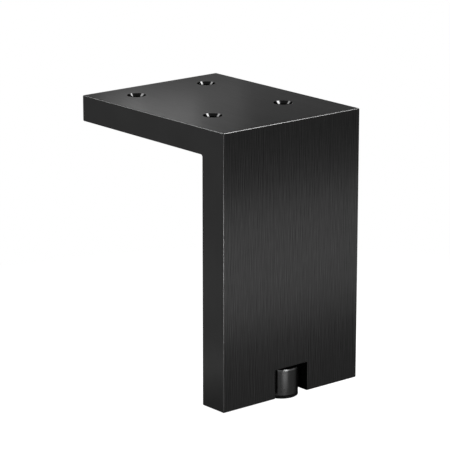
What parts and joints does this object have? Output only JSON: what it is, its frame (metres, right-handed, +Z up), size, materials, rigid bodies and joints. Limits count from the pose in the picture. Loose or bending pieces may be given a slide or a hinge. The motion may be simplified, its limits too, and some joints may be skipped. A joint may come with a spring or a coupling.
{
  "type": "adjustable furniture leg",
  "caption": "L-shaped black metal furniture leg with a drilled top plate and a screw-adjusted foot in a notch at its lower end.",
  "frame": {"origin": "on the top mounting face, at the centre of the four screw holes", "axes": "+Z up, out of the mounting face; -Y out of the front face; X along the front"},
  "size_m": [0.075, 0.0965, 0.1211],
  "materials": {
    "leg_metal": "brushed and anodised black, satin",
    "foot_metal": "turned and blackened, satin",
    "stud_steel": "black oxide",
    "glide_plastic": "moulded, matte black"
  },
  "bodies": {
    "leg": {"leg_body": "leg_metal"},
    "glide": {"foot_glide": "glide_plastic"},
    "foot": {"adjuster_foot": "foot_metal", "threaded_stud": "stud_steel"}
  },
  "joints": [
    {"name": "foot_travel", "type": "slide", "parent": "leg", "child": "glide", "axis": [0, 0, -1], "range_m": [-0.001, 0.01]},
    {"name": "foot_turn", "type": "hinge", "parent": "glide", "child": "foot", "pos_m": [0, -0.048, -0.1199], "axis": [0, 0, -1], "range_deg": [-288, 2880]}
  ],
  "couplings": [
    {"joint": "foot_travel", "follows": "foot_turn", "m_per_rad": 0.00019894}
  ]
}
